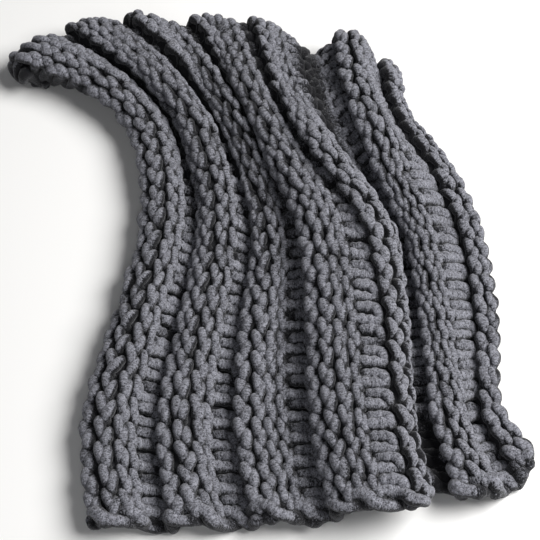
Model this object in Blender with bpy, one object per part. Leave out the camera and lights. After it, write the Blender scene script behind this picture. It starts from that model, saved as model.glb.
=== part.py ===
"""Chunky knit blanket, laid out on the floor in loose folds. Metres, +Z up, hem towards -Y.

One knitted panel, cast on at the hem and bound off at the far end, in broad ribs: four knit wales stand
proud and two purl wales sink between them. A wale is one column of stitches, counted from the left side.
"""

from collections import namedtuple

import bmesh
import bpy
import numpy as np

# The knitting, as counted and measured flat
WALES = 44
FLAT_LENGTH = 1.52
THICK = 0.030
RIB_WALES = 6
RIB_CENTRE = 2.0
RIB_RELIEF = 0.013
RIB_BEND = 0.030

# How it lies: the middle of the cloth over the floor, spread flat and where the far end is turned under
REST = 0.023
UNDER = THICK / 2
TURN_AT = {"left": 1.38, "front": 1.27, "right": 1.22}
FOOT = 0.005
EASE_ACROSS = 8
EASE_ALONG = 6
TUCKED_WALE = 31.5

# Cells of the mesh
ACROSS_CELLS = 66
ALONG_CELLS = 25
TURNED_CELLS = 9
FINER = 2

# A row for each station between the hem and the far turn. The front layer runs from the left side to its
# front edge, folds back under itself by lap, and comes out again as the flap, which ends at the right side.
# Fold wales are where the cloth crosses the front edge's crest and the flap's crest.
Station = namedtuple(
    "Station",
    "share left_x left_y front_x front_y bow lap recess right_x right_y crest_wale flap_wale",
)
STATIONS = [
    Station(0.00, -0.356, -0.590, 0.306, -0.572, 0.000, 0.050, 0.110, 0.536, -0.455, 24.0, 37.0),
    Station(0.15, -0.377, -0.390, 0.284, -0.400, 0.000, 0.060, 0.030, 0.466, -0.320, 24.2, 37.0),
    Station(0.33, -0.323, -0.143, 0.284, -0.190, 0.010, 0.060, 0.000, 0.479, -0.130, 24.6, 37.5),
    Station(0.51, -0.272, 0.105, 0.276, 0.025, 0.020, 0.050, 0.000, 0.466, 0.060, 25.2, 38.0),
    Station(0.70, -0.305, 0.352, 0.186, 0.215, 0.045, 0.020, 0.000, 0.396, 0.243, 26.5, 37.5),
    Station(0.85, -0.450, 0.495, 0.118, 0.375, 0.085, -0.006, 0.000, 0.300, 0.372, 28.0, 37.0),
    Station(1.00, -0.582, 0.530, 0.095, 0.512, 0.115, -0.008, 0.000, 0.276, 0.484, 28.5, 36.5),
]

# A row for each crest and each crease: where it lies at the hem and at the far end, and its height over
# the resting cloth at each station, in millimetres. The front layer's are placed by their share of its width.
Fold = namedtuple("Fold", "name near far hem shin knee lap back shoulder turn")
FRONT_FOLDS = [
    Fold("left_side", 0.00, 0.00, 0, 0, 2, 4, 8, 28, 55),
    Fold("side_roll", 0.09, 0.09, 18, 36, 48, 44, 42, 52, 66),
    Fold("side_crease", 0.20, 0.22, 0, -4, -4, -2, 8, 40, 59),
    Fold("left_pleat", 0.30, 0.36, 12, 19, 26, 36, 50, 68, 77),
    Fold("left_crease", 0.40, 0.49, 2, -4, -4, -2, 3, 44, 61),
    Fold("middle_pleat", 0.46, 0.56, 8, 14, 22, 38, 58, 76, 79),
    Fold("middle_crease", 0.50, 0.64, 10, 10, 18, 31, 40, 53, 64),
]
# These lie off the front edge, in metres to its right. They go back with the lap where under is 1, and
# spread where the edge runs slantwise to the courses where slant is 1.
EdgeFold = namedtuple("EdgeFold", Fold._fields + ("under", "slant"))
EDGE_FOLDS = [
    EdgeFold("back_pleat", -0.140, -0.165, 36, 42, 54, 66, 72, 88, 92, 1, 0),
    EdgeFold("shoulder", -0.055, -0.100, 82, 88, 92, 94, 94, 72, 70, 1, 0),
    EdgeFold("front_crest", -0.028, -0.052, 96, 100, 102, 104, 106, 92, 88, 0, 1),
    EdgeFold("front_edge", 0.000, -0.026, 78, 78, 78, 78, 80, 78, 76, 0, 1),
    EdgeFold("under_edge", -0.026, -0.012, 52, 52, 52, 52, 56, 64, 68, 0, 1),
    EdgeFold("tuck_over", 0.000, -0.004, 52, 52, 52, 52, 54, 58, 64, 1, 1),
    EdgeFold("tuck", -0.026, 0.002, 26, 26, 26, 26, 30, 56, 63, 1, 1),
    EdgeFold("tuck_under", 0.000, 0.010, 0, 0, 0, 0, 8, 56, 64, 1, 1),
]
# The flap's are placed by their share of its width.
FLAP_FOLDS = [
    Fold("flap_root", 0.16, 0.20, 0, 0, 0, 0, 16, 66, 74),
    Fold("flap_crest", 0.42, 0.42, 30, 36, 32, 38, 76, 104, 102),
    Fold("flap_slope", 0.72, 0.75, 8, 4, 2, 8, 48, 82, 90),
    Fold("right_side", 1.00, 1.00, 0, 0, 0, 4, 16, 42, 62),
]
RECESS = {"under_edge": 0.3, "tuck_over": 0.8, "tuck": 1.0, "tuck_under": 1.0}


def clear_scene():
    for obj in list(bpy.data.objects):
        bpy.data.objects.remove(obj, do_unlink=True)


def eased(places, values, wanted):
    """Values on a smooth curve through the given places, which never swings past them."""
    places = np.asarray(places, float)
    values = np.asarray(values, float)
    flat = values.reshape(len(places), -1)
    step = np.diff(places)[:, None]
    slope = np.diff(flat, axis=0) / step
    tangent = np.zeros_like(flat)
    tangent[0], tangent[-1] = slope[0], slope[-1]
    before, after = slope[:-1], slope[1:]
    mean = 2 * before * after / np.where(np.abs(before + after) < 1e-12, 1.0, before + after)
    tangent[1:-1] = np.where(before * after > 0, mean, 0.0)
    wanted = np.atleast_1d(wanted)
    i = np.clip(np.searchsorted(places, wanted, side="right") - 1, 0, len(places) - 2)
    t = ((wanted - places[i]) / step[i, 0])[:, None]
    gap = step[i]
    curve = (
        flat[i] * (1 + 2 * t) * (1 - t) ** 2
        + flat[i + 1] * t**2 * (3 - 2 * t)
        + tangent[i] * gap * t * (1 - t) ** 2
        + tangent[i + 1] * gap * t**2 * (t - 1)
    )
    return curve.reshape((len(wanted),) + values.shape[1:])


def edge_spread(index):
    """How much wider the folds off the front edge lie where that edge runs slantwise to the cloth's courses."""
    station = STATIONS[index]
    before, after = STATIONS[max(index - 1, 0)], STATIONS[min(index + 1, len(STATIONS) - 1)]
    run = np.array([after.front_x - before.front_x, after.front_y - before.front_y])
    chord = np.array([station.front_x - station.left_x, station.front_y - station.left_y])
    slant = abs(run[0] * chord[1] - run[1] * chord[0])
    return np.linalg.norm(run) * np.linalg.norm(chord) / slant


def fold_points(station, index):
    """The crests and creases that the cloth runs through at one station, from the left side to the right."""
    left = np.array([station.left_x, station.left_y])
    front = np.array([station.front_x, station.front_y])
    right = np.array([station.right_x, station.right_y])
    points = []

    def placed(fold):
        return fold.near + (fold.far - fold.near) * station.share

    def add(place, rise, fold):
        points.append((place[0], place[1] + rise, REST + fold[3 + index] / 1000))

    def front_rise(share):
        middle = 1 - min(abs(2 * share - 1), 1.0) ** (2 + 2 * station.share**6)
        return station.bow * middle

    def flap_rise(share):
        pull = station.recess * (1 - share) ** 2
        return pull + 0.45 * (station.bow - station.recess) * np.sin(np.pi * share)

    for fold in FRONT_FOLDS:
        share = placed(fold)
        add(left + (front - left) * share, front_rise(share), fold)
    for fold in EDGE_FOLDS:
        offset = placed(fold) - station.lap * fold.under
        offset *= edge_spread(index) ** fold.slant
        share = 1 + offset / (front[0] - left[0])
        rise = station.recess * RECESS.get(fold.name, 0.0)
        add(left + (front - left) * share, rise or front_rise(share), fold)
    for fold in FLAP_FOLDS:
        share = placed(fold)
        add(front + (right - front) * share, flap_rise(share), fold)
    return points


def spline(points, steps):
    """A round curve through the points, with the given number of steps between each two."""
    points = np.asarray(points, float)
    ends = np.vstack([2 * points[0] - points[1], points, 2 * points[-1] - points[-2]])
    pieces = []
    for before, start, end, after in zip(ends, ends[1:], ends[2:], ends[3:]):
        knots = [0.0]
        for a, b in ((before, start), (start, end), (end, after)):
            knots.append(knots[-1] + max(np.linalg.norm(b - a), 1e-4) ** 0.5)
        k0, k1, k2, k3 = knots
        t = np.linspace(k1, k2, steps, endpoint=False)[:, None]
        a1 = (k1 - t) / (k1 - k0) * before + (t - k0) / (k1 - k0) * start
        a2 = (k2 - t) / (k2 - k1) * start + (t - k1) / (k2 - k1) * end
        a3 = (k3 - t) / (k3 - k2) * end + (t - k2) / (k3 - k2) * after
        b1 = (k2 - t) / (k2 - k0) * a1 + (t - k0) / (k2 - k0) * a2
        b2 = (k3 - t) / (k3 - k1) * a2 + (t - k1) / (k3 - k1) * a3
        pieces.append((k2 - t) / (k2 - k1) * b1 + (t - k1) / (k2 - k1) * b2)
    return np.vstack(pieces + [points[-1:]])


def course(share, wales):
    """Points of the cloth at the given wales, across it at one share of the way to the far turn."""
    shares = [station.share for station in STATIONS]
    knots = eased(shares, [fold_points(s, i) for i, s in enumerate(STATIONS)], share)[0]
    crest_wale = eased(shares, [s.crest_wale for s in STATIONS], share)[0]
    flap_wale = eased(shares, [s.flap_wale for s in STATIONS], share)[0]
    steps = 12
    curve = spline(knots, steps)
    crest = steps * (len(FRONT_FOLDS) + 2)
    flap = steps * (len(FRONT_FOLDS) + len(EDGE_FOLDS) + 1)
    run = np.concatenate([[0.0], np.cumsum(np.linalg.norm(np.diff(curve, axis=0), axis=1))])
    place = np.interp(wales, [0.0, crest_wale, flap_wale, WALES], [0.0, run[crest], run[flap], run[-1]])
    return np.stack([np.interp(place, run, curve[:, k]) for k in range(3)], axis=1)


def turn_lengths(wales):
    """Length of cloth from the hem to the far turn, for each wale."""
    return np.interp(wales, [0.0, 0.7 * WALES, WALES], list(TURN_AT.values()))


def turned(edge, before, past):
    """Points past the far turn: over a round edge, down to the floor and back under the cloth."""
    heading = edge - before
    heading[:, 2] = 0.0
    heading /= np.linalg.norm(heading, axis=1)[:, None]
    radius = (edge[:, 2] - UNDER) / 2
    angle = np.minimum(past / radius, np.pi)
    back = np.maximum(past - np.pi * radius, 0.0)
    points = edge + heading * (radius * np.sin(angle) - back)[:, None]
    points[:, 2] = edge[:, 2] - radius * (1 - np.cos(angle))
    return points


def settled(grid, across, along):
    """The same cloth with its sharpest turns eased, by averaging each inner point with its neighbours."""
    grid = grid.copy()
    for _ in range(across):
        grid[:, 1:-1] = (grid[:, :-2] + 2 * grid[:, 1:-1] + grid[:, 2:]) / 4
    for _ in range(along):
        grid[1:-1] = (grid[:-2] + 2 * grid[1:-1] + grid[2:]) / 4
    return grid


def cloth_grid():
    """The middle of the cloth, as rows of points from the hem to the bound-off end, and the wale of each column."""
    wales = np.linspace(0.0, WALES, FINER * ACROSS_CELLS + 1)
    rows = [course(share, wales) for share in np.linspace(0.0, 1.0, FINER * ALONG_CELLS + 1)]
    edge, before = rows[-1], course(0.97, wales)
    spare = FLAT_LENGTH - turn_lengths(wales)
    for step in range(1, FINER * TURNED_CELLS + 1):
        rows.append(turned(edge, before.copy(), spare * step / (FINER * TURNED_CELLS)))
    return settled(np.array(rows), EASE_ACROSS, EASE_ALONG), wales


def facing(grid):
    """Unit normals of a grid of points, up where the cloth lies flat."""
    across = np.gradient(grid, axis=1)
    along = np.gradient(grid, axis=0)
    normal = np.cross(across, along)
    return normal / np.linalg.norm(normal, axis=2)[:, :, None]


def bend(grid, normal):
    """How sharply the cloth is folded at each point, as the greater of its curvatures across and along."""
    bends = []
    for axis in (0, 1):
        step = np.gradient(grid, axis=axis)
        turn = np.gradient(normal, axis=axis)
        bends.append(np.abs(np.sum(step * turn, axis=2)) / np.sum(step * step, axis=2))
    return np.maximum(*bends)


def relief(grid, normal, wales):
    """How far ribs stand proud of the middle of the cloth and purl wales sink, less so where it is folded."""
    folded = 1 / (1 + (RIB_BEND * bend(grid, normal)) ** 2)
    tucked = 1 - 0.7 * np.exp(-(((wales - TUCKED_WALE) / 3.4) ** 4))
    ribs = np.cos(2 * np.pi * (wales - RIB_CENTRE) / RIB_WALES)
    return RIB_RELIEF * folded * (ribs * tucked)[None, :]


def faces_of_cloth(grid, wales):
    """Upper and lower faces of the cloth, flat where it touches the floor."""
    normal = facing(grid)
    lift = relief(grid, normal, wales)
    sides = []
    for offset in (lift + THICK / 2, lift - THICK / 2):
        side = (grid + normal * offset[:, :, None])[::FINER, ::FINER]
        side[:, :, 2] = np.where(side[:, :, 2] < FOOT, 0.0, side[:, :, 2])
        sides.append(side)
    return sides


def panel_mesh(name):
    upper, lower = faces_of_cloth(*cloth_grid())
    rows, columns = upper.shape[:2]
    bm = bmesh.new()
    top = [[bm.verts.new(point) for point in row] for row in upper]
    bottom = [[bm.verts.new(point) for point in row] for row in lower]
    for j in range(rows - 1):
        for i in range(columns - 1):
            bm.faces.new([top[j][i], top[j][i + 1], top[j + 1][i + 1], top[j + 1][i]])
            bm.faces.new([bottom[j][i], bottom[j + 1][i], bottom[j + 1][i + 1], bottom[j][i + 1]])
    ring = [(0, i) for i in range(columns - 1)] + [(j, columns - 1) for j in range(rows - 1)]
    ring += [(rows - 1, i) for i in range(columns - 1, 0, -1)] + [(j, 0) for j in range(rows - 1, 0, -1)]
    for (j, i), (k, m) in zip(ring, ring[1:] + ring[:1]):
        bm.faces.new([top[j][i], bottom[j][i], bottom[k][m], top[k][m]])
    mesh = bpy.data.meshes.new(name)
    bm.to_mesh(mesh)
    bm.free()
    return mesh


def centred(mesh):
    """Puts the middle of the mesh's box over the origin, standing on the floor."""
    points = np.array([v.co for v in mesh.vertices])
    low, high = points.min(axis=0), points.max(axis=0)
    points -= [(low[0] + high[0]) / 2, (low[1] + high[1]) / 2, low[2]]
    mesh.vertices.foreach_set("co", points.ravel())
    mesh.update()


def chenille():
    material = bpy.data.materials.new("chenille_yarn")
    material.use_nodes = True
    surface = material.node_tree.nodes["Principled BSDF"]
    surface.inputs["Base Color"].default_value = (0.105, 0.108, 0.118, 1.0)
    surface.inputs["Roughness"].default_value = 0.95
    surface.inputs["Metallic"].default_value = 0.0
    return material


def build():
    clear_scene()
    mesh = panel_mesh("knit_panel")
    centred(mesh)
    mesh.materials.append(chenille())
    panel = bpy.data.objects.new("knit_panel", mesh)
    bpy.context.scene.collection.objects.link(panel)


build()
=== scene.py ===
# %% [markdown]
# # A chunky knit blanket, laid out in loose folds
#
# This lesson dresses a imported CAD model. The model is one closed solid in the shape in which the blanket
# lies. Here it gets its knitting: every stitch is a real loop of yarn, made along the cloth's own surface.

import math
from collections import namedtuple

import bpy
import numpy as np
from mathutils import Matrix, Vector


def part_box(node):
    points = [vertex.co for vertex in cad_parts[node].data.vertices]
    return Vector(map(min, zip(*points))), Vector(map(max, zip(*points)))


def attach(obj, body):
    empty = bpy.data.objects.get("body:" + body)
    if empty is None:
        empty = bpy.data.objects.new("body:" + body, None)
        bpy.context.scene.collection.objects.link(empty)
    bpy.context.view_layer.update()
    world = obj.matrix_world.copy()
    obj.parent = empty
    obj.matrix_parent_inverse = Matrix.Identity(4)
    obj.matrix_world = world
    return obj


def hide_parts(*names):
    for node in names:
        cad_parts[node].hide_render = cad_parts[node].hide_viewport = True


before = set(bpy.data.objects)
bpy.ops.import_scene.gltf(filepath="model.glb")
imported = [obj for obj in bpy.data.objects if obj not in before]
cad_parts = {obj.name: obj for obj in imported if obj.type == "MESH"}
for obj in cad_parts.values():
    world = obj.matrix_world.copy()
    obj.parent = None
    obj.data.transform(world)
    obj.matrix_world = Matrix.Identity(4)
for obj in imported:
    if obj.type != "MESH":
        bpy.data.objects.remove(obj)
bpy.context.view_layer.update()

# %% [markdown]
# ## The knitting's own sizes
#
# A wale is one column of stitches and a course is one row. The blanket is a broad rib: four knit wales
# stand proud, then two purl wales sink between them. Sizes are in metres, as on the blanket spread flat,
# and its flat size is the usual one for such a throw.

# %% Sizes of the knitting
WALES = 44
COURSES = 29
FLAT_WIDTH = 1.27
FLAT_LENGTH = 1.52
EDGE_BAND = 0.018
COURSE = (FLAT_LENGTH - 2 * EDGE_BAND) / COURSES
RIB_WALES = 6
KNIT_WALES = 4
RIB_CENTRE = 2.0
YARN = 0.0096
print(f"{WALES * COURSES} stitches, a course every {COURSE * 1000:.1f} mm")

# %% [markdown]
# ## How the blanket lies
#
# The fold tables say where each crest and crease runs, at seven stations from the hem to the far turn.
# They are the same as the solid's, so the knitting lands on it. Each fold has a place across the front
# layer or the flap, near the hem and far from it, and seven heights in millimetres over the resting cloth.

# %% Tables of the folds
THICK = 0.030
RIB_RELIEF = 0.013
RIB_BEND = 0.030
REST = 0.023
UNDER = THICK / 2
TURN_AT = {"left": 1.38, "front": 1.27, "right": 1.22}
FOOT = 0.005
EASE_ACROSS = 8
EASE_ALONG = 6
FLAP_BOW = 0.45
BEFORE_TURN = 0.97
FRONT_SHARE = 0.7
ACROSS_CELLS = 132
LAID_CELLS = 50
TURNED_CELLS = 18

Station = namedtuple(
    "Station",
    "share left_x left_y front_x front_y bow lap recess right_x right_y crest_wale flap_wale",
)
STATIONS = [
    Station(0.00, -0.356, -0.590, 0.306, -0.572, 0.000, 0.050, 0.110, 0.536, -0.455, 24.0, 37.0),
    Station(0.15, -0.377, -0.390, 0.284, -0.400, 0.000, 0.060, 0.030, 0.466, -0.320, 24.2, 37.0),
    Station(0.33, -0.323, -0.143, 0.284, -0.190, 0.010, 0.060, 0.000, 0.479, -0.130, 24.6, 37.5),
    Station(0.51, -0.272, 0.105, 0.276, 0.025, 0.020, 0.050, 0.000, 0.466, 0.060, 25.2, 38.0),
    Station(0.70, -0.305, 0.352, 0.186, 0.215, 0.045, 0.020, 0.000, 0.396, 0.243, 26.5, 37.5),
    Station(0.85, -0.450, 0.495, 0.118, 0.375, 0.085, -0.006, 0.000, 0.300, 0.372, 28.0, 37.0),
    Station(1.00, -0.582, 0.530, 0.095, 0.512, 0.115, -0.008, 0.000, 0.276, 0.484, 28.5, 36.5),
]

Fold = namedtuple("Fold", "name near far hem shin knee lap back shoulder turn")
FRONT_FOLDS = [
    Fold("left_side", 0.00, 0.00, 0, 0, 2, 4, 8, 28, 55),
    Fold("side_roll", 0.09, 0.09, 18, 36, 48, 44, 42, 52, 66),
    Fold("side_crease", 0.20, 0.22, 0, -4, -4, -2, 8, 40, 59),
    Fold("left_pleat", 0.30, 0.36, 12, 19, 26, 36, 50, 68, 77),
    Fold("left_crease", 0.40, 0.49, 2, -4, -4, -2, 3, 44, 61),
    Fold("middle_pleat", 0.46, 0.56, 8, 14, 22, 38, 58, 76, 79),
    Fold("middle_crease", 0.50, 0.64, 10, 10, 18, 31, 40, 53, 64),
]
EdgeFold = namedtuple("EdgeFold", Fold._fields + ("under", "slant"))
EDGE_FOLDS = [
    EdgeFold("back_pleat", -0.140, -0.165, 36, 42, 54, 66, 72, 88, 92, 1, 0),
    EdgeFold("shoulder", -0.055, -0.100, 82, 88, 92, 94, 94, 72, 70, 1, 0),
    EdgeFold("front_crest", -0.028, -0.052, 96, 100, 102, 104, 106, 92, 88, 0, 1),
    EdgeFold("front_edge", 0.000, -0.026, 78, 78, 78, 78, 80, 78, 76, 0, 1),
    EdgeFold("under_edge", -0.026, -0.012, 52, 52, 52, 52, 56, 64, 68, 0, 1),
    EdgeFold("tuck_over", 0.000, -0.004, 52, 52, 52, 52, 54, 58, 64, 1, 1),
    EdgeFold("tuck", -0.026, 0.002, 26, 26, 26, 26, 30, 56, 63, 1, 1),
    EdgeFold("tuck_under", 0.000, 0.010, 0, 0, 0, 0, 8, 56, 64, 1, 1),
]
FLAP_FOLDS = [
    Fold("flap_root", 0.16, 0.20, 0, 0, 0, 0, 16, 66, 74),
    Fold("flap_crest", 0.42, 0.42, 30, 36, 32, 38, 76, 104, 102),
    Fold("flap_slope", 0.72, 0.75, 8, 4, 2, 8, 48, 82, 90),
    Fold("right_side", 1.00, 1.00, 0, 0, 0, 4, 16, 42, 62),
]
RECESS = {"under_edge": 0.3, "tuck_over": 0.8, "tuck": 1.0, "tuck_under": 1.0}
print(len(STATIONS), "stations,", len(FRONT_FOLDS + EDGE_FOLDS + FLAP_FOLDS), "folds")

# %% [markdown]
# ## From the tables to a surface
#
# Each station gives a row of points. A round spline joins them across the cloth, and a monotone cubic
# eases each one from station to station. Then the cloth is cut into equal lengths of wale, so that
# a stitch stays the same size however the cloth bends.


# %% Smooth curves through the tables
def eased(places, values, wanted):
    """Values on a smooth curve through the given places, which never swings past them."""
    places = np.asarray(places, float)
    values = np.asarray(values, float)
    flat = values.reshape(len(places), -1)
    step = np.diff(places)[:, None]
    slope = np.diff(flat, axis=0) / step
    tangent = np.zeros_like(flat)
    tangent[0], tangent[-1] = slope[0], slope[-1]
    before, after = slope[:-1], slope[1:]
    mean = 2 * before * after / np.where(np.abs(before + after) < 1e-12, 1.0, before + after)
    tangent[1:-1] = np.where(before * after > 0, mean, 0.0)
    wanted = np.atleast_1d(wanted)
    i = np.clip(np.searchsorted(places, wanted, side="right") - 1, 0, len(places) - 2)
    t = ((wanted - places[i]) / step[i, 0])[:, None]
    gap = step[i]
    curve = (
        flat[i] * (1 + 2 * t) * (1 - t) ** 2
        + flat[i + 1] * t**2 * (3 - 2 * t)
        + tangent[i] * gap * t * (1 - t) ** 2
        + tangent[i + 1] * gap * t**2 * (t - 1)
    )
    return curve.reshape((len(wanted),) + values.shape[1:])


def spline(points, steps):
    """A round curve through the points, with the given number of steps between each two."""
    points = np.asarray(points, float)
    ends = np.vstack([2 * points[0] - points[1], points, 2 * points[-1] - points[-2]])
    parts = []
    for before, start, end, after in zip(ends, ends[1:], ends[2:], ends[3:]):
        knots = [0.0]
        for a, b in ((before, start), (start, end), (end, after)):
            knots.append(knots[-1] + max(np.linalg.norm(b - a), 1e-4) ** 0.5)
        k0, k1, k2, k3 = knots
        t = np.linspace(k1, k2, steps, endpoint=False)[:, None]
        a1 = (k1 - t) / (k1 - k0) * before + (t - k0) / (k1 - k0) * start
        a2 = (k2 - t) / (k2 - k1) * start + (t - k1) / (k2 - k1) * end
        a3 = (k3 - t) / (k3 - k2) * end + (t - k2) / (k3 - k2) * after
        b1 = (k2 - t) / (k2 - k0) * a1 + (t - k0) / (k2 - k0) * a2
        b2 = (k3 - t) / (k3 - k1) * a2 + (t - k1) / (k3 - k1) * a3
        parts.append((k2 - t) / (k2 - k1) * b1 + (t - k1) / (k2 - k1) * b2)
    return np.vstack(parts + [points[-1:]])


# %% The points of one station
def edge_spread(index):
    """How much wider the folds off the front edge lie where that edge runs slantwise to the courses."""
    station = STATIONS[index]
    before, after = STATIONS[max(index - 1, 0)], STATIONS[min(index + 1, len(STATIONS) - 1)]
    run = np.array([after.front_x - before.front_x, after.front_y - before.front_y])
    chord = np.array([station.front_x - station.left_x, station.front_y - station.left_y])
    slant = abs(run[0] * chord[1] - run[1] * chord[0])
    return np.linalg.norm(run) * np.linalg.norm(chord) / slant


def fold_points(station, index):
    """The crests and creases that the cloth runs through at one station, from its left side on."""
    left = np.array([station.left_x, station.left_y])
    front = np.array([station.front_x, station.front_y])
    right = np.array([station.right_x, station.right_y])
    points = []

    def placed(fold):
        return fold.near + (fold.far - fold.near) * station.share

    def add(place, rise, fold):
        points.append((place[0], place[1] + rise, REST + fold[3 + index] / 1000))

    def front_rise(share):
        middle = 1 - min(abs(2 * share - 1), 1.0) ** (2 + 2 * station.share**6)
        return station.bow * middle

    def flap_rise(share):
        pull = station.recess * (1 - share) ** 2
        return pull + FLAP_BOW * (station.bow - station.recess) * np.sin(np.pi * share)

    for fold in FRONT_FOLDS:
        share = placed(fold)
        add(left + (front - left) * share, front_rise(share), fold)
    for fold in EDGE_FOLDS:
        offset = placed(fold) - station.lap * fold.under
        offset *= edge_spread(index) ** fold.slant
        share = 1 + offset / (front[0] - left[0])
        rise = station.recess * RECESS.get(fold.name, 0.0)
        add(left + (front - left) * share, rise or front_rise(share), fold)
    for fold in FLAP_FOLDS:
        share = placed(fold)
        add(front + (right - front) * share, flap_rise(share), fold)
    return points


# %% The cloth as a grid of points
def course_line(share, wales):
    """Points of the cloth at the given wales, across it at one share of the way to the far turn."""
    shares = [station.share for station in STATIONS]
    knots = eased(shares, [fold_points(s, i) for i, s in enumerate(STATIONS)], share)[0]
    crest_wale = eased(shares, [s.crest_wale for s in STATIONS], share)[0]
    flap_wale = eased(shares, [s.flap_wale for s in STATIONS], share)[0]
    steps = 12
    curve = spline(knots, steps)
    crest = steps * (len(FRONT_FOLDS) + 2)
    flap = steps * (len(FRONT_FOLDS) + len(EDGE_FOLDS) + 1)
    run = np.concatenate([[0.0], np.cumsum(np.linalg.norm(np.diff(curve, axis=0), axis=1))])
    place = np.interp(wales, [0.0, crest_wale, flap_wale, WALES], [0.0, run[crest], run[flap], run[-1]])
    return np.stack([np.interp(place, run, curve[:, k]) for k in range(3)], axis=1)


def turn_lengths(wales):
    """Length of cloth from the hem to the far turn, for each wale."""
    return np.interp(wales, [0.0, FRONT_SHARE * WALES, WALES], list(TURN_AT.values()))


def turned(edge, before, past):
    """Points past the far turn: over a round edge, down to the floor and back under the cloth."""
    heading = edge - before
    heading[:, 2] = 0.0
    heading /= np.linalg.norm(heading, axis=1)[:, None]
    radius = (edge[:, 2] - UNDER) / 2
    angle = np.minimum(past / radius, np.pi)
    back = np.maximum(past - np.pi * radius, 0.0)
    points = edge + heading * (radius * np.sin(angle) - back)[:, None]
    points[:, 2] = edge[:, 2] - radius * (1 - np.cos(angle))
    return points


def settled(grid, across, along):
    """The same cloth with its sharpest turns eased, by averaging each inner point with its neighbours."""
    grid = grid.copy()
    for _ in range(across):
        grid[:, 1:-1] = (grid[:, :-2] + 2 * grid[:, 1:-1] + grid[:, 2:]) / 4
    for _ in range(along):
        grid[1:-1] = (grid[:-2] + 2 * grid[1:-1] + grid[2:]) / 4
    return grid


def cloth_grid():
    """The middle of the cloth, as rows of points from the hem on, and the wale of each column."""
    wales = np.linspace(0.0, WALES, ACROSS_CELLS + 1)
    rows = [course_line(share, wales) for share in np.linspace(0.0, 1.0, LAID_CELLS + 1)]
    edge, before = rows[-1], course_line(BEFORE_TURN, wales)
    spare = FLAT_LENGTH - turn_lengths(wales)
    for step in range(1, TURNED_CELLS + 1):
        rows.append(turned(edge, before.copy(), spare * step / TURNED_CELLS))
    return settled(np.array(rows), EASE_ACROSS, EASE_ALONG), wales


# %% [markdown]
# ## Which way the cloth faces, and its ribs
#
# A stitch stands off the middle of the cloth, so each point also needs a normal. The ribs rise and sink
# along it, and flatten where the cloth is folded sharply or tucked under the front edge, as thick knitting
# does. Real ribs aren't even waves: each is steep on its left side and runs down gently to the right. The
# solid leaves that out, so the knitting adds it here.

# %% Normals and ribs
TUCKED_WALE = 31.5
TUCKED_REACH = 3.4
TUCKED_FLAT = 0.7
FRONT_WALE = 27.0
FRONT_REACH = 3.8
FRONT_FLAT = 0.75
LEAN_WALES = [0.0, 0.33, 2.0, 4.0, 5.0, 5.8, 6.0]
LEAN_HEIGHTS = [-0.016, 0.010, 0.004, -0.003, -0.007, -0.016, -0.016]


def hump(values, middle, reach, steepness=4):
    """1 about the middle, falling smoothly to 0 beyond the reach."""
    return np.exp(-(((values - middle) / reach) ** steepness))


def facing(grid):
    """Unit normals of a grid of points, up where the cloth lies flat."""
    across = np.gradient(grid, axis=1)
    along = np.gradient(grid, axis=0)
    normal = np.cross(across, along)
    return normal / np.linalg.norm(normal, axis=2)[:, :, None]


def bend(grid, normal):
    """How sharply the cloth is folded at each point, as the greater of its curvatures across and along."""
    bends = []
    for axis in (0, 1):
        step = np.gradient(grid, axis=axis)
        turn = np.gradient(normal, axis=axis)
        bends.append(np.abs(np.sum(step * turn, axis=2)) / np.sum(step * step, axis=2))
    return np.maximum(*bends)


def fullness(grid, normal, wales):
    """1 where ribs stand at their full height, and less where the cloth is folded or tucked."""
    folded = 1 / (1 + (RIB_BEND * bend(grid, normal)) ** 2)
    tucked = 1 - TUCKED_FLAT * hump(wales, TUCKED_WALE, TUCKED_REACH)
    return folded * tucked[None, :]


def relief(grid, normal, wales):
    """How far ribs stand proud of the middle of the cloth and purl wales sink."""
    ribs = np.cos(2 * np.pi * (wales - RIB_CENTRE) / RIB_WALES)
    return RIB_RELIEF * fullness(grid, normal, wales) * ribs[None, :]


def lean(wales):
    """What the knitting adds to that, stretched nearly flat where the cloth turns over its front edge."""
    stretched = 1 - FRONT_FLAT * hump(wales, FRONT_WALE, FRONT_REACH, 6)
    return np.interp(np.mod(wales, RIB_WALES), LEAN_WALES, LEAN_HEIGHTS) * stretched


def faces_of_cloth(grid, wales):
    """Upper and lower faces of the solid, flat where it touches the floor."""
    normal = facing(grid)
    lift = relief(grid, normal, wales)
    sides = []
    for offset in (lift + THICK / 2, lift - THICK / 2):
        side = (grid + normal * offset[:, :, None])[::2, ::2]
        side[:, :, 2] = np.where(side[:, :, 2] < FOOT, 0.0, side[:, :, 2])
        sides.append(side)
    return sides


# %% [markdown]
# ## Putting the surface where the solid is
#
# The solid stands with the middle of its box over the origin. The same move is worked out here from the
# two faces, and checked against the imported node's box.

# %% Place the cloth in the frame
grid, grid_wales = cloth_grid()
solid = np.concatenate([side.reshape(-1, 3) for side in faces_of_cloth(grid, grid_wales)])
solid_low, solid_high = solid.min(axis=0), solid.max(axis=0)
SHIFT = np.array([(solid_low[0] + solid_high[0]) / 2, (solid_low[1] + solid_high[1]) / 2, solid_low[2]])
grid = grid - SHIFT
grid_normal = facing(grid)
node_low, node_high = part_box("knit_panel")
off = np.abs(np.concatenate([solid_low - SHIFT - node_low, solid_high - SHIFT - node_high])).max()
print(f"the surface meets the solid's box within {off * 1000:.2f} mm")

# %% [markdown]
# ## A wider ladder on the flap
#
# The purl wales between two ribs look like a ladder. On the flap it is pulled wide open, and the knit wales
# beside it are crowded into small ropes. The ribs' relief is spaced again there, so that it stays under
# its stitches, and the ladder sinks less. Both fade out towards the hem and the far turn.

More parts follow.
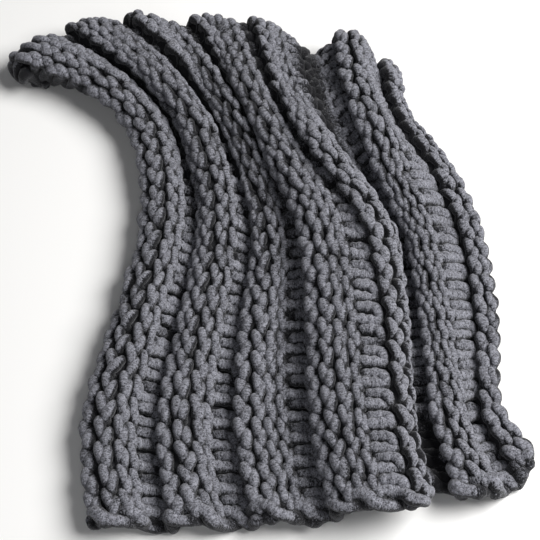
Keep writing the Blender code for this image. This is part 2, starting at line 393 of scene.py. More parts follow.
# %% Space the relief on the flap
FLAP_START = 36.0
FLAP_WIDTHS = [0.62, 0.62, 0.60, 0.66, 1.75, 1.75]
FLAP_FADE = [0.08, 0.34, 0.82, 0.98]
LADDER_REACH = 1.3
LADDER_LEVEL = 0.55
flap_knit = FLAP_START + sum(FLAP_WIDTHS[:KNIT_WALES])
flap_end = FLAP_START + RIB_WALES
rib_wales = np.interp(
    grid_wales,
    [0.0, FLAP_START, flap_knit, flap_end, WALES],
    [0.0, FLAP_START, FLAP_START + KNIT_WALES, flap_end, WALES],
)
share_laid = np.arange(len(grid))[:, None] / LAID_CELLS


def between(values, ends):
    """1 between the two inner ends, fading to 0 at the two outer ones."""
    return np.interp(values, ends, [0.0, 1.0, 1.0, 0.0])


def standing(wales):
    """How far the ribs stand off the middle of the cloth, with each rib's lean."""
    return relief(grid, grid_normal, wales) + fullness(grid, grid_normal, wales) * lean(wales)


opened = between(share_laid * turn_lengths(grid_wales), FLAP_FADE)
levelled = 1 - LADDER_LEVEL * hump(rib_wales, flap_end - 1.0, LADDER_REACH)
grid_lift = standing(grid_wales) * (1 - opened) + standing(rib_wales) * levelled * opened
print(f"ribs stand {grid_lift.max() * 1000:.0f} mm up and sink {-grid_lift.min() * 1000:.0f} mm")

# %% [markdown]
# ## A place on the cloth
#
# Every stitch is worked out flat: so many wales across, so many metres along, so far off the middle.
# One function turns that into a point in the frame. The cloth also knows where it lies in a hollow of the
# folds, by how far it sinks under a much smoother copy of itself: there the pile gets less light. That
# measure serves the front layer. Past its edge the cloth is tucked under itself, where the measure says
# little, so two valleys are listed: one beside the flap's roll, and one between the front layer's corner
# and the flap.

# %% From knitting to space
SMOOTH_ACROSS = 90
SMOOTH_ALONG = 20
HOLLOW_START = 0.003
HOLLOW_DEPTH = 0.018
HOLLOW_WALES = [22.0, 26.0]
Valley = namedtuple("Valley", "wale reach ends shade")
VALLEYS = [
    Valley(wale=31.2, reach=2.0, ends=[0.56, 0.72, 1.0, 1.1], shade=3.0),
    Valley(wale=34.5, reach=1.4, ends=[-0.1, 0.0, 0.12, 0.28], shade=2.6),
]
# The hollows and the two valleys are painted shade: they change no shape and only darken the pile's colour
# through the finish.
sunk = settled(grid, SMOOTH_ACROSS, SMOOTH_ALONG)[:, :, 2] - grid[:, :, 2]
on_front = np.interp(grid_wales, HOLLOW_WALES, [1.0, 0.0])
grid_hollow_shade = np.clip((sunk - HOLLOW_START) / HOLLOW_DEPTH, 0.0, 1.0) * on_front
for valley in VALLEYS:
    across = hump(grid_wales, valley.wale, valley.reach)
    grid_hollow_shade = grid_hollow_shade + valley.shade * across * between(share_laid, valley.ends)
CLOTH = np.dstack([grid, grid_normal, grid_lift, grid_hollow_shade])
Spot = namedtuple("Spot", "point normal lift hollow")


def cloth_at(wale, length):
    """All that is known of the cloth at the given wales and lengths from the hem."""
    wale, length = np.broadcast_arrays(np.asarray(wale, float), np.asarray(length, float))
    turn = turn_lengths(wale)
    laid_row = length / turn * LAID_CELLS
    turned_row = LAID_CELLS + (length - turn) / (FLAT_LENGTH - turn) * TURNED_CELLS
    row = np.where(length < turn, laid_row, turned_row)
    column = wale / WALES * ACROSS_CELLS
    j = np.clip(np.floor(row).astype(int), 0, CLOTH.shape[0] - 2)
    i = np.clip(np.floor(column).astype(int), 0, CLOTH.shape[1] - 2)
    down, over = (row - j)[..., None], (column - i)[..., None]
    near = CLOTH[j, i] * (1 - over) + CLOTH[j, i + 1] * over
    far = CLOTH[j + 1, i] * (1 - over) + CLOTH[j + 1, i + 1] * over
    point, normal, lift, hollow = np.split(near * (1 - down) + far * down, [3, 6, 7], axis=-1)
    return Spot(point, normal / np.linalg.norm(normal, axis=-1)[..., None], lift[..., 0], hollow[..., 0])


def on_cloth(wale, length, height):
    """Points at the given wales, lengths from the hem and heights over the ribs' own surface."""
    spot = cloth_at(wale, length)
    return spot.point + spot.normal * (spot.lift + height)[..., None]


print("middle of the hem", on_cloth(WALES / 2, 0.0, 0.0).round(3))

# %% [markdown]
# ## How wide each wale lies
#
# The wales of a rib aren't equally wide. Near the hem the first knit wales lie broad and the last ones are
# crowded. Towards the far turn the ribs are drawn together, so that the purl wales close to a dark
# crease. On the flap it is the other way round. Three sets of widths say so, as shares of the mean, and
# each place on the cloth mixes them.

# %% Widths of the wales
OPEN_WIDTHS = [1.20, 1.12, 0.88, 0.74, 1.03, 1.03]
DRAWN_WIDTHS = [1.34, 1.28, 1.22, 1.12, 0.52, 0.52]
DRAWN_LENGTHS = [0.65, 1.00]
DRAWN_WALES = [26.0, 29.0]
RIB_START = 0.10


def drawn_in(wale, length):
    """How far the ribs are drawn together: not at all by the hem or on the flap, fully by the far turn."""
    return np.interp(length, DRAWN_LENGTHS, [0.0, 1.0]) * np.interp(wale, DRAWN_WALES, [1.0, 0.0])


def width_sets(wale, length):
    """The widths of a rib's wales that apply at a place, each set with its share."""
    drawn = drawn_in(wale, length)
    on_flap = np.where((wale >= FLAP_START) & (wale < FLAP_START + RIB_WALES), 1.0, 0.0)
    on_flap = on_flap * between(length, FLAP_FADE)
    return [(OPEN_WIDTHS, 1 - drawn - on_flap), (DRAWN_WIDTHS, drawn), (FLAP_WIDTHS, on_flap)]


def spread_wales(wale, length):
    """Where a wale lies on the cloth, counted in wales of the mean width."""
    period, phase = np.divmod(wale, RIB_WALES)
    steps = np.arange(RIB_WALES + 1)
    places = sum(
        share * np.interp(phase, steps, np.concatenate([[0.0], np.cumsum(widths)]))
        for widths, share in width_sets(wale, length)
    )
    return RIB_START + period * RIB_WALES + places


def wale_width(wale, length):
    """Width of the wale at a place, as a share of the mean."""
    middles = np.arange(-0.5, RIB_WALES + 1)
    phase = np.mod(wale, RIB_WALES)
    return sum(
        share * np.interp(phase, middles, [widths[-1], *widths, widths[0]])
        for widths, share in width_sets(wale, length)
    )


print("widths of one rib by the hem", OPEN_WIDTHS, "and by the far turn", DRAWN_WIDTHS)

# %% [markdown]
# ## The path of the yarn through a course
#
# A course is one unbroken yarn. On a knit wale it climbs into a loop and comes back. The two legs of the
# loop lie in front, so they show as plump leaves. One leg sits half a course above the other, which gives
# each wale its look of a plaited rope. A purl stitch shows the back of a loop, where yarn lies in bars.
# So the yarn crosses each pair of purl wales twice, as a full bar, and its way back lies hidden underneath.
# No two stitches are drawn up equally tight, so each one's sizes vary a little, with a fixed seed.

# %% The loop of one stitch
Loop = namedtuple("Loop", "girth plump pinch draw reach stagger depth shingle snap")
KNIT = Loop(
    girth=0.79,
    plump=0.52,
    pinch=0.17,
    draw=0.09,
    reach=0.55,
    stagger=0.25,
    depth=0.0115,
    shingle=0.002,
    snap=1.8,
)
Bars = namedtuple("Bars", "girth plump knobs span apart height dive hidden snap")
PURL = Bars(
    girth=1.38,
    plump=0.45,
    knobs=0.09,
    span=1.95,
    apart=0.25,
    height=0.0100,
    dive=0.022,
    hidden=0.235,
    snap=12,
)
Uneven = namedtuple("Uneven", "pinch stagger reach depth bars knobs length girth height wale")
UNEVEN = Uneven(
    pinch=0.3,
    stagger=0.2,
    reach=0.05,
    depth=0.12,
    bars=0.15,
    knobs=0.8,
    length=0.003,
    girth=0.08,
    height=0.0022,
    wale=0.07,
)
KNIT_FROM = -0.12
KNIT_TO = KNIT_WALES - 0.10
KNIT_EDGE = 0.10
YARN_FOLLOWS_WIDTH = 0.6
DRAWN_SINK = 0.012
STITCH_STEPS = 28
SEED = 11
rng = np.random.default_rng(SEED)


def knitness(wale):
    """1 over knit wales and 0 over purl wales, with the change just before each rib starts and ends."""
    phase = np.mod(wale + 1.0, RIB_WALES) - 1.0
    return 0.5 + 0.5 * np.tanh(np.minimum(phase - KNIT_FROM, KNIT_TO - phase) / KNIT_EDGE)


def varied(places, spread):
    """A value for each stitch of a course, drawn round nought, eased along the yarn."""
    return np.interp(places, np.arange(WALES) + 0.5, rng.normal(0.0, spread, WALES))


def knit_path(place):
    """Wale, share of a course, height and girth along yarn that climbs and comes back once a wale."""
    t = 2 * np.pi * place
    wale = place + KNIT.pinch * (1 + varied(place, UNEVEN.pinch)) * np.sin(2 * t) + KNIT.draw * np.sin(t)
    stagger = KNIT.stagger * (1 + varied(place, UNEVEN.stagger))
    along = stagger * np.sin(t) - KNIT.reach * (1 + varied(place, UNEVEN.reach)) * np.cos(t)
    dive = np.tanh(KNIT.snap * np.cos(2 * t)) / np.tanh(KNIT.snap)
    height = KNIT.shingle * np.cos(t) - KNIT.depth * (1 + varied(place, UNEVEN.depth)) * dive
    return np.stack([wale, along, height, KNIT.girth * (1 - KNIT.plump * np.cos(2 * t))])


def bar_path(place):
    """The same along yarn that crosses the purl wales as two bars, with its way back hidden under them."""
    period, phase = np.divmod(place - 1.0, RIB_WALES)
    share = np.clip((phase + 1.0 - KNIT_WALES) / (RIB_WALES - KNIT_WALES), 0.0, 1.0)
    back = hump(share, 0.5, PURL.hidden)
    crossed = 0.5 - 0.5 * np.cos(3 * np.pi * share)
    wale = period * RIB_WALES + KNIT_WALES + PURL.span * crossed
    along = PURL.apart * np.tanh((share - 0.5) * PURL.snap)
    height = PURL.height * (1 + varied(place, UNEVEN.bars)) - PURL.dive * back
    knobs = 1 - PURL.knobs * np.cos(6 * np.pi * crossed + varied(place, UNEVEN.knobs))
    return np.stack([wale, along, height, PURL.girth * knobs * (1 - PURL.plump * back)])


def course_yarn(course):
    """Wale, length, height and radius along the yarn of one course, and how far it is knit."""
    place = np.arange(WALES * STITCH_STEPS + 1) / STITCH_STEPS
    knit = knitness(place)
    wale, along, height, girth = knit * knit_path(place) + (1 - knit) * bar_path(place)
    length = EDGE_BAND + COURSE * (course + 0.5 + along) + varied(place, UNEVEN.length)
    fitted = np.where(knit > 0.5, wale_width(place, length) ** YARN_FOLLOWS_WIDTH, 1.0)
    radius = YARN * girth * fitted * (1 + varied(place, UNEVEN.girth))
    height = height + varied(place, UNEVEN.height) - DRAWN_SINK * (1 - knit) * drawn_in(place, length)
    return spread_wales(wale + varied(place, UNEVEN.wale), length), length, height, radius, knit


print(f"a knit loop dives {KNIT.depth * 1000:.1f} mm and a bar {PURL.dive * 1000:.0f} mm into the cloth")

# %% [markdown]
# ## Every course, laid on the cloth
#
# The yarn can't pass into the floor, so its middle stays about its own radius up, and it stays under a
# ceiling just over the solid. Upright yarn is thinner where wales are packed tight, and thicker where they
# are stretched. Each point also remembers how deep it lies, because deep pile gets less light: that depth
# becomes painted shade in its colour.

# %% Lay the courses
PACKED_RANGE = (0.5, 1.35)
SQUEEZE = 0.55
FLOOR_TOUCH = 0.97
DEEP_BELOW = 0.008
DEEP_RANGE = 0.012
HOLLOW_SHARE = 0.45
Strand = namedtuple("Strand", "points radius deep run up")


def run_along(points):
    """Distance along a strand to each of its points."""
    return np.concatenate([[0.0], np.cumsum(np.linalg.norm(np.diff(points, axis=0), axis=1))])


def packed(wale, length):
    """How closely the wales lie at a place, as a share of their width when the cloth is flat."""
    step = np.linalg.norm(on_cloth(wale + 0.5, length, 0.0) - on_cloth(wale - 0.5, length, 0.0), axis=-1)
    return np.clip(step / (FLAT_WIDTH / WALES), *PACKED_RANGE)


def laid(wale, length, height, radius, upright=1.0):
    """A strand of yarn on the cloth, with all that the tree and the finish need to know of it."""
    tight = packed(np.clip(wale, 0.5, WALES - 0.5), np.clip(length, 0.0, FLAT_LENGTH))
    radius = radius * (1 - SQUEEZE * upright * (1 - tight))
    points = on_cloth(wale, length, height)
    points[:, 2] = np.clip(points[:, 2], radius * FLOOR_TOUCH, node_high[2] + YARN - radius)
    spot = cloth_at(wale, length)
    # Painted shade: the pile gets darker where the yarn lies deep in the cloth, and in hollows and valleys.
    hollow = HOLLOW_SHARE * spot.hollow
    deep = np.clip((DEEP_BELOW - height) / DEEP_RANGE + hollow, 0.0, np.maximum(1.0, hollow))
    return Strand(points, radius, deep, run_along(points), spot.normal)


courses = [laid(*course_yarn(course)) for course in range(COURSES)]
print(f"{COURSES} courses hold {sum(strand.run[-1] for strand in courses):.0f} m of yarn")

# %% [markdown]
# ## Hem and far end
#
# The hem is cast on and the far end bound off: along each, the yarn makes a chain of fat slanted links.
# Two strands wound round each other give that look, and a row of knots along their outer side closes it.

# %% Cast-on and bind-off chains
CHAIN_INSET = 0.015
CHAIN_STEPS = 10
CHAIN_END = 0.1
CHAIN_UNEVEN = 0.002
ROUNDED_WALES = 0.6
ROUNDED_FROM = 0.02
Link = namedtuple("Link", "wales slip reach height rise girth swell uneven")
LINK = Link(
    wales=5.0, slip=0.25, reach=0.013, height=0.004, rise=0.013, girth=1.18, swell=0.34, uneven=0.08
)
Knot = namedtuple("Knot", "wales out rise girth swell uneven")
KNOT = Knot(wales=1.5, out=0.010, rise=0.002, girth=1.25, swell=0.28, uneven=0.10)


def chain(length, slant, outward):
    """Two strands wound round each other across the cloth, and a row of knots along their outer side."""
    place = np.linspace(CHAIN_END, WALES - CHAIN_END, WALES * CHAIN_STEPS + 1)
    from_end = np.clip(np.minimum(place - place[0], place[-1] - place) / ROUNDED_WALES, 0.0, 1.0)
    rounded = np.sqrt(ROUNDED_FROM + (1 - ROUNDED_FROM) * from_end * (2 - from_end))
    strands = []
    for start in (0.0, np.pi):
        angle = slant * 2 * np.pi * place / LINK.wales + start
        wale = place + LINK.slip * np.sin(2 * angle)
        along = length + LINK.reach * np.cos(angle) + varied(place, CHAIN_UNEVEN)
        height = LINK.height + LINK.rise * np.sin(angle) + varied(place, CHAIN_UNEVEN)
        girth = LINK.girth + LINK.swell * np.sin(angle)
        radius = YARN * girth * (1 + varied(place, LINK.uneven)) * rounded
        strands.append(laid(wale, along, height, radius))
    knot = np.cos(2 * np.pi * place / KNOT.wales)
    along = length + outward * (KNOT.out + varied(place, CHAIN_UNEVEN))
    radius = YARN * (KNOT.girth + KNOT.swell * knot) * (1 + varied(place, KNOT.uneven)) * rounded
    strands.append(laid(place, along, KNOT.rise * knot, radius))
    return strands


cast_on = chain(CHAIN_INSET, 1, -1)
bind_off = chain(FLAT_LENGTH - CHAIN_INSET, -1, 1)
print(len(cast_on) + len(bind_off), "chain strands")

# %% [markdown]
# ## The two sides
#
# Up each side, the yarn bulges out once a course as it turns back, which gives the side its scallops.

# %% Side strands
SIDE_STEPS = 15
SIDE_OUT_UNEVEN = 0.12
SIDE_HEIGHT_UNEVEN = 0.001
SIDE_GIRTH_UNEVEN = 0.04
Side = namedtuple("Side", "out inset start span rise swell")
SIDE = Side(out=0.68, inset=0.35, start=-0.10, span=1.20, rise=0.006, swell=0.25)


def side_loops(wale, outward):
    """A loop of yarn past the side of each course, where it turns back."""
    strands = []
    for course in range(COURSES):
        t = np.linspace(0.0, 1.0, SIDE_STEPS)
        swell = SIDE.out * (1 + rng.normal(0.0, SIDE_OUT_UNEVEN))
        out = wale + outward * (swell * np.sin(np.pi * t) - SIDE.inset)
        along = EDGE_BAND + COURSE * (course + SIDE.start + SIDE.span * t)
        height = SIDE.rise * np.cos(np.pi * t) + rng.normal(0.0, SIDE_HEIGHT_UNEVEN)
        radius = YARN * (1 + SIDE.swell * np.sin(np.pi * t)) * (1 + rng.normal(0.0, SIDE_GIRTH_UNEVEN))
        strands.append(laid(out, along, height, radius))
    return strands


sides = side_loops(0.0, -1) + side_loops(float(WALES), 1)
print(len(sides), "side loops")

# %% [markdown]
# ## Nodes from plain sums
#
# The yarn's shape and its finish both come from trees of nodes. A small class wraps a socket, so that a sum
# written in Python adds its Math nodes. One method makes any other node.


# %% The wrapper for values and the maker of nodes
class Value:
    """A socket of a tree, on which ordinary sums make Math nodes."""

    def __init__(self, maker, socket):
        self.maker = maker
        self.socket = socket

    def sum(self, operation, first, second):
        return self.maker.make("ShaderNodeMath", {"operation": operation}, {0: first, 1: second})

    def __add__(self, other):
        return self.sum("ADD", self, other)

    def __radd__(self, other):
        return self.sum("ADD", other, self)

    def __sub__(self, other):
        return self.sum("SUBTRACT", self, other)

    def __rsub__(self, other):
        return self.sum("SUBTRACT", other, self)

    def __mul__(self, other):
        return self.sum("MULTIPLY", self, other)

    def __rmul__(self, other):
        return self.sum("MULTIPLY", other, self)

    def __truediv__(self, other):
        return self.sum("DIVIDE", self, other)

    def __rtruediv__(self, other):
        return self.sum("DIVIDE", other, self)

    def at_least(self, other):
        return self.sum("MAXIMUM", self, other)

    def at_most(self, other):
        return self.sum("MINIMUM", self, other)


class Maker:
    """A tree and its one way of making nodes."""

    def __init__(self, tree):
        self.tree = tree

    def fill(self, node, sockets):
        """Gives a node's sockets their values, or links them to wrapped ones."""
        for name, value in sockets.items():
            if isinstance(value, Value):
                self.tree.links.new(value.socket, node.inputs[name])
            else:
                node.inputs[name].default_value = value

    def make(self, kind, settings=None, sockets=None, output=0):
        """Makes a node, sets it and then fills its sockets. Gives one of its outputs."""
        node = self.tree.nodes.new(kind)
        for name, value in (settings or {}).items():
            setattr(node, name, value)
        self.fill(node, sockets or {})
        return Value(self, node.outputs[output])


# %% [markdown]
# ## A tree that turns strands into yarn
#
# Geometry Nodes sweep a round profile along every strand at once. The strand's own radius is stored on its
# points, and a noise makes the yarn uneven, because chenille is never the same thickness twice. The tree
# also stores the painted shade: how far light is kept from the pile, for the finish to darken its colour
# by.

# %% The tree's inputs
YARN_INPUTS = [
    ("Strands", "NodeSocketGeometry", None),
    ("Sides", "NodeSocketInt", 12),
    ("Unevenness", "NodeSocketFloat", 0.26),
    ("Lump Size", "NodeSocketFloat", 0.011),
    ("Seed", "NodeSocketFloat", 4.0),
    ("Yarn Material", "NodeSocketMaterial", None),
]


def yarn_tree():
    """The tree with its named inputs, each with its usual value."""
    tree = bpy.data.node_groups.new("yarn_along_strands", "GeometryNodeTree")
    for name, kind, usual in YARN_INPUTS:
        socket = tree.interface.new_socket(name, in_out="INPUT", socket_type=kind)
        if usual is not None:
            socket.default_value = usual
    tree.interface.new_socket("Yarn", in_out="OUTPUT", socket_type="NodeSocketGeometry")
    return tree


tree = yarn_tree()
print([name for name, _, _ in YARN_INPUTS])

# %% The tree's nodes
LIT_FACING = 0.72
DARK_FACING = 0.10


def on_points(yarn, name, kind="FLOAT"):
    """What the strands carry on their points under a name."""
    return yarn.make("GeometryNodeInputNamedAttribute", {"data_type": kind}, {"Name": name})


def store_painted_shade(yarn, tube):
    """Stores the painted shade: most where the yarn is deep, or where it faces sideways or down off the
    cloth.
    """
    both = {0: on_points(yarn, "cloth_up", "FLOAT_VECTOR"), 1: yarn.make("GeometryNodeInputNormal")}
    faces_up = yarn.make("ShaderNodeVectorMath", {"operation": "DOT_PRODUCT"}, both, "Value")
    facings = {"Value": faces_up, "From Min": LIT_FACING, "From Max": DARK_FACING}
    turned_away = yarn.make("ShaderNodeMapRange", {"interpolation_type": "SMOOTHSTEP"}, facings)
    shade = turned_away.at_least(on_points(yarn, "yarn_deep"))
    stored = {"Geometry": tube, "Name": "shade", "Value": shade}
    return yarn.make("GeometryNodeStoreNamedAttribute", {"data_type": "FLOAT", "domain": "POINT"}, stored)


def wire_yarn_tree(tree):
    """Joins the nodes: strands go in, and yarn comes out, uneven, with its painted shade stored and its
    material set.
    """
    yarn = Maker(tree)
    given = {socket.name: Value(yarn, socket) for socket in tree.nodes.new("NodeGroupInput").outputs}
    lump = {"W": given["Seed"], "Scale": 1.0 / given["Lump Size"], "Detail": 1.0}
    lumps = yarn.make("ShaderNodeTexNoise", {"noise_dimensions": "4D"}, lump)
    girth = on_points(yarn, "yarn_radius") * ((lumps - 0.5) * given["Unevenness"] + 1.0)
    curve = yarn.make("GeometryNodeMeshToCurve", None, {"Mesh": given["Strands"]})
    ring = {"Resolution": given["Sides"], "Radius": 1.0}
    profile = yarn.make("GeometryNodeCurvePrimitiveCircle", None, ring)
    swept = {"Curve": curve, "Profile Curve": profile, "Scale": girth, "Fill Caps": True}
    tube = store_painted_shade(yarn, yarn.make("GeometryNodeCurveToMesh", None, swept))
    smooth = yarn.make("GeometryNodeSetShadeSmooth", None, {"Geometry": tube})
    real = yarn.make("GeometryNodeRealizeInstances", None, {"Geometry": smooth})
    dyed = {"Geometry": real, "Material": given["Yarn Material"]}
    yarn.fill(tree.nodes.new("NodeGroupOutput"), {"Yarn": yarn.make("GeometryNodeSetMaterial", None, dyed)})


wire_yarn_tree(tree)
print(len(tree.nodes), "nodes in the yarn tree")

# %% [markdown]
# ## Chenille
#
# Chenille yarn is a core with short cut pile all round. Close to, it looks matt and mottled: the tips of
# the tufts catch the light and the roots stay dark. Three noises do that, for the bump and for painted
# light and shade in the colour: rows of tufts that run round the yarn, clumps of them, and fine fuzz. A
# fourth, much broader, changes the tone slowly. Where the yarn is deep in the cloth or faces away from it,
# less light reaches the pile, so painted shade darkens its colour there. The sheen is the soft bloom of
# pile seen edge on.

# %% Materials and their noises
Grain = namedtuple("Grain", "scale detail roughness", defaults=(2.0, 0.5))


class Finish(Maker):
    """A material, as the maker of its own nodes."""

    def __init__(self, name):
        self.material = bpy.data.materials.new(name)
        self.material.use_nodes = True
        super().__init__(self.material.node_tree)

    def place(self):
        return self.make("ShaderNodeTexCoord", output="Object")

    def attribute(self, name):
        return self.make("ShaderNodeAttribute", {"attribute_name": name}, output="Fac")

    def noise(self, grain, place, run=None):
        """A noise of one grain. With a run, it changes along the yarn too, as its fourth dimension."""
        sockets = {
            "Vector": place,
            "Scale": grain.scale,
            "Detail": grain.detail,
            "Roughness": grain.roughness,
        }
        if run is None:
            return self.make("ShaderNodeTexNoise", None, sockets)
        return self.make("ShaderNodeTexNoise", {"noise_dimensions": "4D"}, {**sockets, "W": run})

    def bump(self, height, distance, strength):
        sockets = {"Height": height, "Distance": distance, "Strength": strength}
        return self.make("ShaderNodeBump", None, sockets)

    def mixed(self, share, first, second):
        """A colour between two others. A Mix node's colours have sockets of their own, 6 and 7."""
        sockets = {0: share, 6: (*first, 1.0), 7: (*second, 1.0)}
        return self.make("ShaderNodeMix", {"data_type": "RGBA"}, sockets, 2)

    def set(self, sockets):
        self.fill(self.tree.nodes["Principled BSDF"], sockets)
        return self.material


# %% The yarn's material
PILE_TIP = (0.330, 0.336, 0.387)
# The root colour is painted shade: the near-black of the pile among its tufts and where the stored shade is
# deep.
PAINTED_SHADE_COLOUR = (0.009, 0.009, 0.011)
PILE_HEIGHT = 0.005
ROWS = Grain(320.0, roughness=0.7)
CLUMPS = Grain(270.0, detail=1.0, roughness=0.6)
FUZZ = Grain(430.0, roughness=0.8)
BROAD = Grain(22.0)
ROWS_STRETCH = 0.40
ROWS_SHARE = 0.40
CLUMPS_SHARE = 0.25
FUZZ_SHARE = 0.35
CONTRAST = 4.8
MIDDLE = 0.57
BROAD_SHARE = 0.3
PAINTED_SHADE_SHARE = 1.2


def rows_of_tufts(yarn):
    """Tufts in rows round the yarn: they change faster along it than across it."""
    stretched = {0: yarn.place(), "Scale": ROWS_STRETCH}
    slow = yarn.make("ShaderNodeVectorMath", {"operation": "SCALE"}, stretched)
    return yarn.noise(ROWS, slow, yarn.attribute("yarn_run"))


def chenille():
    """The finish of all the yarn, with painted light and shade: dark at the roots of its pile, paler at the
    tips, and darker where the stored shade says.
    """
    yarn = Finish("chenille_yarn")
    clumps, fuzz, broad = (yarn.noise(grain, yarn.place()) for grain in (CLUMPS, FUZZ, BROAD))
    tufts = rows_of_tufts(yarn) * ROWS_SHARE + clumps * CLUMPS_SHARE + fuzz * FUZZ_SHARE
    # Painted light and shade: the tufts' noise lightens and darkens the colour, and the stored shade
    # darkens it further.
    painted_tuft_light = (tufts - 0.5) * CONTRAST + MIDDLE + (broad - 0.5) * BROAD_SHARE
    painted_light_share = (painted_tuft_light - yarn.attribute("shade") * PAINTED_SHADE_SHARE).at_least(0.0).at_most(1.0)
    return yarn.set(
        {
            "Base Color": yarn.mixed(painted_light_share, PAINTED_SHADE_COLOUR, PILE_TIP),
            "Roughness": 0.95,
            "Normal": yarn.bump(tufts, PILE_HEIGHT, 1.0),
            "Sheen Weight": 0.35,
            "Sheen Roughness": 0.45,
            "Sheen Tint": (0.75, 0.76, 0.80, 1.0),
            "Specular IOR Level": 0.2,
        }
    )


yarn_material = chenille()
print("made", yarn_material.name)

# %% [markdown]
# ## From strands to pieces
#
# The strands become mesh edges, with their radius and what the finish needs stored on their points. The
# tree sweeps them, and the result is taken as a plain mesh. The courses go into several pieces, so that
# none is too heavy.


# %% Sweep the strands
def strand_mesh(name, strands):
    """Strands as edges, with what the tree and the finish need stored on their points."""
    points = np.vstack([s.points for s in strands])
    counts = [len(s.points) for s in strands]
    first = np.delete(np.arange(len(points)), np.cumsum(counts) - 1)
    edges = np.stack([first, first + 1], axis=1)
    mesh = bpy.data.meshes.new(name)
    mesh.from_pydata(points.tolist(), edges.tolist(), [])
    for label, values in (("yarn_radius", "radius"), ("yarn_deep", "deep"), ("yarn_run", "run")):
        stored = mesh.attributes.new(label, "FLOAT", "POINT")
        stored.data.foreach_set("value", np.concatenate([getattr(s, values) for s in strands]))
    facing_out = mesh.attributes.new("cloth_up", "FLOAT_VECTOR", "POINT")
    facing_out.data.foreach_set("vector", np.vstack([s.up for s in strands]).ravel())
    return mesh


def sweep(name, strands):
    """One piece of yarn, as a plain mesh, from its strands."""
    piece = bpy.data.objects.new(name, strand_mesh(name, strands))
    bpy.context.scene.collection.objects.link(piece)
    swept = piece.modifiers.new("yarn", "NODES")
    swept.node_group = tree
    inputs = {item.name: item.identifier for item in tree.interface.items_tree if item.in_out == "INPUT"}
    swept[inputs["Yarn Material"]] = yarn_material
    depsgraph = bpy.context.evaluated_depsgraph_get()
    mesh = bpy.data.meshes.new_from_object(piece.evaluated_get(depsgraph))
    piece.modifiers.clear()
    piece.data = mesh
    mesh.name = name
    return piece


def triangles(piece):
    return sum(len(face.vertices) - 2 for face in piece.data.polygons)


COURSES_A_PIECE = 5
yarn_pieces = []
for first in range(0, COURSES, COURSES_A_PIECE):
    group = courses[first : first + COURSES_A_PIECE]
    yarn_pieces.append(sweep(f"courses_{first + 1}_to_{first + len(group)}", group))
yarn_pieces.append(sweep("cast_on_chain", cast_on))
yarn_pieces.append(sweep("bind_off_chain", bind_off))
yarn_pieces.append(sweep("side_loops", sides))
for piece in yarn_pieces:
    print(piece.name, triangles(piece), "triangles")

# %% [markdown]
# ## The ground of the cloth
#
# Between the loops one looks into the inside of the knitting, which lies in shade. A thin sheet runs
# through the middle of the cloth for that, coloured with painted shade.

# %% The ground sheet
GROUND_THICK = 0.006
GROUND_CELLS = (88, 76)
GROUND_SINK = 0.002
GROUND_INSET = 0.010
GROUND_INSET_WALES = 0.25
GROUND_UP = 0.009
# The ground's two colours are painted shade: the yarn as it looks deep inside the knitting.
SHADED_ROOT = (0.012, 0.012, 0.014)
SHADED_TIP = (0.045, 0.045, 0.050)
SHADED_GRAIN = Grain(240.0)
SHADED_HEIGHT = 0.002
SHADED_BUMP = 0.6


def ground_mesh():
    """A closed sheet: an upper and a lower face, joined all round by a rim."""
    across, along = GROUND_CELLS
    wales = np.linspace(GROUND_INSET_WALES, WALES - GROUND_INSET_WALES, across + 1)
    lengths = np.linspace(GROUND_INSET, FLAT_LENGTH - GROUND_INSET, along + 1)
    wale, length = np.meshgrid(wales, lengths)
    layers = []
    for height in (GROUND_THICK / 2 - GROUND_SINK, -GROUND_THICK / 2 - GROUND_SINK):
        points = on_cloth(wale, length, height)
        points[..., 2] = np.maximum(points[..., 2], GROUND_UP + height)
        layers.append(points.reshape(-1, 3))
    columns, count = across + 1, (across + 1) * (along + 1)
    faces = []
    for j in range(along):
        for i in range(across):
            a = j * columns + i
            faces.append((a, a + 1, a + 1 + columns, a + columns))
            faces.append((a + count, a + columns + count, a + 1 + columns + count, a + 1 + count))
    ring = list(range(across)) + [j * columns + across for j in range(along)]
    ring += [along * columns + i for i in range(across, 0, -1)] + [j * columns for j in range(along, 0, -1)]
    for a, b in zip(ring, ring[1:] + ring[:1]):
        faces.append((a, a + count, b + count, b))
    mesh = bpy.data.meshes.new("knit_ground")
    mesh.from_pydata(np.vstack(layers).tolist(), [], faces)
    mesh.polygons.foreach_set("use_smooth", [True] * len(faces))
    return mesh


def ground_material():
    """Painted shade: the same yarn, coloured as it looks in deep shade."""
    inside = Finish("yarn_in_shade")
    tufts = inside.noise(SHADED_GRAIN, inside.place())
    colour = inside.mixed(tufts, SHADED_ROOT, SHADED_TIP)
    bump = inside.bump(tufts, SHADED_HEIGHT, SHADED_BUMP)
    return inside.set({"Base Color": colour, "Roughness": 1.0, "Normal": bump, "Specular IOR Level": 0.1})


ground = bpy.data.objects.new("knit_ground", ground_mesh())
ground.data.materials.append(ground_material())
bpy.context.scene.collection.objects.link(ground)
print("knit_ground", triangles(ground), "triangles")

# %% [markdown]
# ## Handing the pieces to the frame
#
# Every piece rides on the model's one body. The ground and the yarn take the place of the solid, which is
# hidden.

for piece in [ground, *yarn_pieces]:
    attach(piece, "root")
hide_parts("knit_panel")
print("in all", sum(triangles(p) for p in [ground, *yarn_pieces]), "triangles")

# %% [markdown]
# ## Floor, light and camera
#
# A plain pale floor and soft light from the upper right, with a weaker fill, as in a small studio.
# The camera looks down on the blanket from its hem.


# %% The studio
FLOOR_HALF = 6.0
FLOOR_LEVEL = -0.0005
WORLD_STRENGTH = 0.06


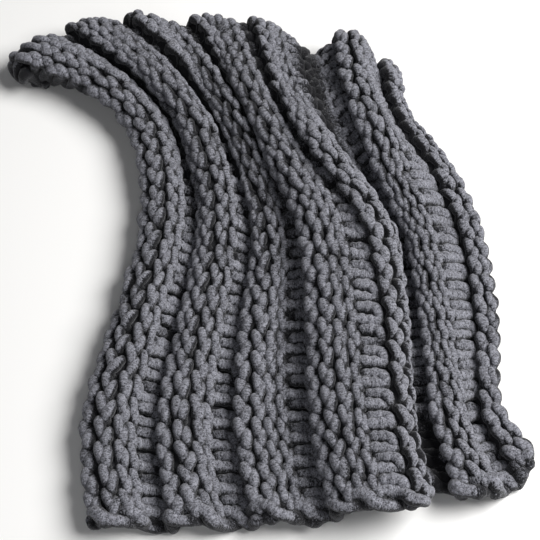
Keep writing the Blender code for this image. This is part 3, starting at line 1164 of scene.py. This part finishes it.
def area_light(name, place, target, size, power, colour):
    light = bpy.data.lights.new(name, "AREA")
    light.shape = "DISK"
    light.size = size
    light.energy = power
    light.color = colour
    lamp = bpy.data.objects.new(name, light)
    lamp.location = place
    lamp.rotation_mode = "QUATERNION"
    lamp.rotation_quaternion = (Vector(target) - Vector(place)).to_track_quat("-Z", "Y")
    bpy.context.scene.collection.objects.link(lamp)


def pale_floor():
    mesh = bpy.data.meshes.new("floor")
    signs = [(-1, -1), (1, -1), (1, 1), (-1, 1)]
    mesh.from_pydata([(x * FLOOR_HALF, y * FLOOR_HALF, FLOOR_LEVEL) for x, y in signs], [], [(0, 1, 2, 3)])
    pale = Finish("pale_floor")
    mesh.materials.append(pale.set({"Base Color": (0.96, 0.96, 0.96, 1.0), "Roughness": 0.9}))
    floor = bpy.data.objects.new("floor", mesh)
    bpy.context.scene.collection.objects.link(floor)
    return floor


pale_floor()
area_light(
    "key", place=(3.4, 0.2, 3.9), target=(0.1, 0.0, 0.0), size=3.6, power=405.0, colour=(1.0, 0.99, 0.97)
)
area_light(
    "fill", place=(-0.3, -2.2, 2.8), target=(0.0, 0.0, 0.0), size=1.5, power=14.0, colour=(0.97, 0.98, 1.0)
)
world = bpy.data.worlds.new("studio")
world.use_nodes = True
background = world.node_tree.nodes["Background"]
background.inputs["Color"].default_value = (1.0, 1.0, 1.0, 1.0)
background.inputs["Strength"].default_value = WORLD_STRENGTH
bpy.context.scene.world = world
bpy.context.scene.view_settings.view_transform = "Standard"
print("two lights over a floor", 2 * FLOOR_HALF, "m across")

# %% The camera
CAMERA_RANGE = 3.0
CAMERA_RISE = math.radians(60.0)
LOOK_AT = (0.0, 0.0, 0.03)
SEEN_HALF_WIDTH = 0.594
SENSOR = 36.0
look_at = Vector(LOOK_AT) - Vector(SHIFT)
camera_data = bpy.data.cameras.new("camera")
camera_data.sensor_width = SENSOR
camera_data.lens = SENSOR / 2 * CAMERA_RANGE / SEEN_HALF_WIDTH
camera = bpy.data.objects.new("camera", camera_data)
away = Vector((0.0, -math.cos(CAMERA_RISE), math.sin(CAMERA_RISE)))
camera.location = look_at + away * CAMERA_RANGE
camera.rotation_mode = "QUATERNION"
camera.rotation_quaternion = (-away).to_track_quat("-Z", "Y")
bpy.context.scene.collection.objects.link(camera)
bpy.context.scene.camera = camera
print("camera lens", round(camera_data.lens, 1), "mm")
